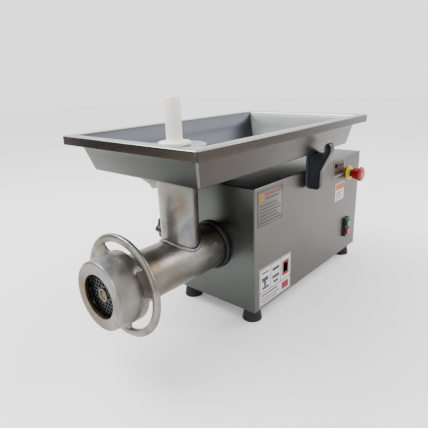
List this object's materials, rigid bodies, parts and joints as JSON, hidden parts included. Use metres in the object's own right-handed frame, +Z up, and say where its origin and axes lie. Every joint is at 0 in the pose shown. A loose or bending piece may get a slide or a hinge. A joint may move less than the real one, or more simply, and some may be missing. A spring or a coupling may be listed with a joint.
{
  "type": "electric meat grinder",
  "caption": "Bench meat grinder: steel box casing with motor and gearbox, cast head with worm, knife and plate, ring nut with hand ring, feed tray and plunger.",
  "frame": {"origin": "on the ground under the middle of the machine's outer box", "axes": "+Z up, -Y towards the outlet end where the ring nut is, +X towards the side with the switches"},
  "size_m": [0.307, 0.708, 0.419],
  "materials": {
    "casing_steel": "fine brushed grain, satin",
    "tray_steel": "fine brushed grain, satin",
    "plain_steel": "machined",
    "bright_steel": "zinc plated, bright",
    "dark_steel": "black oxide",
    "hard_steel": "ground, hardened",
    "cast_alloy": "as cast",
    "motor_alloy": "satin paint on cast alloy",
    "plate_alloy": "printed foil plate, satin",
    "tinned_casting": "cast, ground and tinned, bright satin",
    "copper_wire": "enamelled wire",
    "bronze": "machined",
    "black_rubber": "matte",
    "black_plastic": "moulded, satin",
    "white_plastic": "moulded, satin",
    "red_plastic": "moulded, glossy",
    "green_plastic": "moulded, glossy",
    "yellow_plastic": "moulded, glossy"
  },
  "bodies": {
    "machine": {"casing_shell": "casing_steel", "rear_cover": "casing_steel", "base_plate": "plain_steel", "casing_screws": "bright_steel", "foot_front_left": "black_rubber", "foot_front_right": "black_rubber", "foot_rear_left": "black_rubber", "foot_rear_right": "black_rubber", "foot_screws": "bright_steel", "hub_socket": "cast_alloy", "seal_ring": "black_rubber", "gearbox_case": "cast_alloy", "gearbox_cover": "cast_alloy", "drive_bolts": "dark_steel", "output_bearings": "bright_steel", "oil_seal": "black_rubber", "layshaft_bearings": "bright_steel", "stator_core": "plain_steel", "stator_windings": "copper_wire", "motor_housing": "motor_alloy", "motor_end_shield": "motor_alloy", "motor_bearings": "bright_steel", "motor_cradle": "plain_steel", "capacitor": "white_plastic", "contactor": "black_plastic", "cable_gland": "black_plastic", "estop_collar": "yellow_plastic", "estop_contacts": "black_plastic", "button_station": "black_plastic", "station_contacts": "black_plastic", "tray_support_right": "black_plastic", "tray_support_left": "black_plastic", "support_screws": "bright_steel", "side_plates": "plate_alloy"},
    "output": {"output_shaft": "plain_steel", "output_gear": "plain_steel"},
    "layshaft": {"layshaft": "plain_steel", "layshaft_gear": "plain_steel"},
    "rotor": {"motor_shaft": "plain_steel", "motor_pinion": "plain_steel", "rotor_core": "plain_steel", "motor_fan": "black_plastic"},
    "head": {"head_barrel": "tinned_casting", "head_throat": "tinned_casting", "worm_bush": "bronze", "grinder_plate": "hard_steel", "plate_key": "bright_steel"},
    "ring_nut": {"ring_nut": "tinned_casting", "hand_ring": "tinned_casting"},
    "worm": {"worm": "tinned_casting", "knife": "hard_steel"},
    "tray": {"tray": "tray_steel", "hand_guard": "tray_steel"},
    "plunger": {"plunger": "white_plastic"},
    "lock_knob": {"lock_knob": "black_plastic", "lock_screw": "bright_steel"},
    "estop_stem": {"estop_stem": "black_plastic"},
    "estop_head": {"estop_head": "red_plastic"},
    "start_button": {"start_button": "green_plastic"},
    "stop_button": {"stop_button": "red_plastic"}
  },
  "joints": [
    {"name": "head_slide", "type": "slide", "parent": "machine", "child": "head", "axis": [0, -1, 0], "range_m": [0, 0.11]},
    {"name": "tray_lift", "type": "slide", "parent": "head", "child": "tray", "axis": [0, 0, 1], "range_m": [0, 0.1]},
    {"name": "plunger_lift", "type": "slide", "parent": "tray", "child": "plunger", "axis": [0, 0, 1], "range_m": [0, 0.15]},
    {"name": "nut_turn", "type": "hinge", "parent": "head", "child": "ring_nut", "pos_m": [0, -0.334, 0.142], "axis": [0, 1, 0], "range_deg": [0, 360]},
    {"name": "motor_spin", "type": "hinge", "parent": "machine", "child": "rotor", "pos_m": [0, 0.15, 0.142], "axis": [0, 1, 0], "continuous": true},
    {"name": "layshaft_spin", "type": "hinge", "parent": "machine", "child": "layshaft", "pos_m": [0, 0, 0.19615], "axis": [0, 1, 0], "continuous": true},
    {"name": "output_spin", "type": "hinge", "parent": "machine", "child": "output", "pos_m": [0, -0.02, 0.142], "axis": [0, 1, 0], "continuous": true},
    {"name": "worm_spin", "type": "hinge", "parent": "head", "child": "worm", "pos_m": [0, -0.2, 0.142], "axis": [0, 1, 0], "continuous": true},
    {"name": "knob_turn", "type": "hinge", "parent": "machine", "child": "lock_knob", "pos_m": [-0.1355, -0.086, 0.142], "axis": [-1, 0, 0], "range_deg": [0, 360]},
    {"name": "estop_press", "type": "slide", "parent": "machine", "child": "estop_stem", "axis": [-1, 0, 0], "range_m": [0, 0.0045]},
    {"name": "estop_twist", "type": "hinge", "parent": "estop_stem", "child": "estop_head", "pos_m": [0.121, 0.278, 0.222], "axis": [1, 0, 0], "range_deg": [0, 45], "stiffness_Nm_per_rad": 0.05},
    {"name": "start_press", "type": "slide", "parent": "machine", "child": "start_button", "axis": [-1, 0, 0], "range_m": [0, 0.003], "stiffness_N_per_m": 400},
    {"name": "stop_press", "type": "slide", "parent": "machine", "child": "stop_button", "axis": [-1, 0, 0], "range_m": [0, 0.003], "stiffness_N_per_m": 400}
  ],
  "couplings": [
    {"joint": "layshaft_spin", "follows": "motor_spin", "ratio": -0.35},
    {"joint": "output_spin", "follows": "motor_spin", "ratio": 0.1225},
    {"joint": "worm_spin", "follows": "motor_spin", "ratio": 0.1225}
  ]
}
